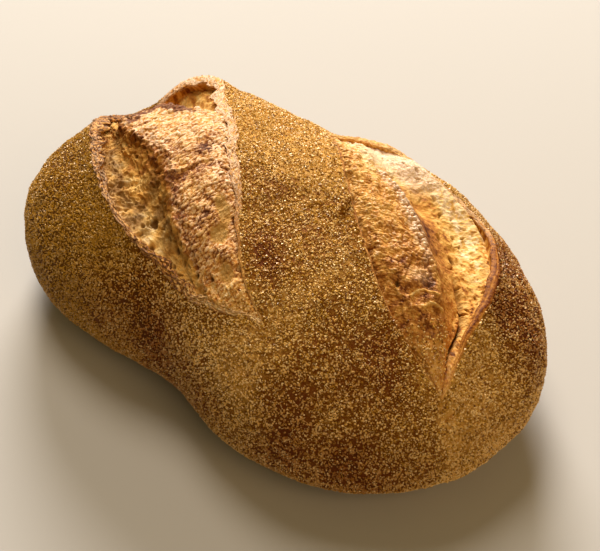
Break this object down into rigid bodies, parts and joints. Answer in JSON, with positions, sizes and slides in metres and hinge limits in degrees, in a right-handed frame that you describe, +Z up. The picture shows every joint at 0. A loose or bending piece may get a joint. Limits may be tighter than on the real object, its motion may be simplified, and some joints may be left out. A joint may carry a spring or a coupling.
{
  "type": "corn rye loaf",
  "caption": "Oval hearth loaf of corn rye bread, its crust dusted with coarse corn meal, with slanting cuts that opened into lifted lips and torn crumb.",
  "frame": {"origin": "middle of the loaf's plan outline, at the level of its flat underside", "axes": "+X along the loaf's long axis, +Z up out of the crust; the cuts slant from the left rear to the right front seen from -Y"},
  "size_m": [0.2942, 0.1856, 0.1049],
  "materials": {
    "crust": "golden brown baked crust under pale corn meal, with paler torn crumb in the cuts; matte"
  },
  "bodies": {
    "root": {"loaf": "crust"}
  },
  "joints": []
}
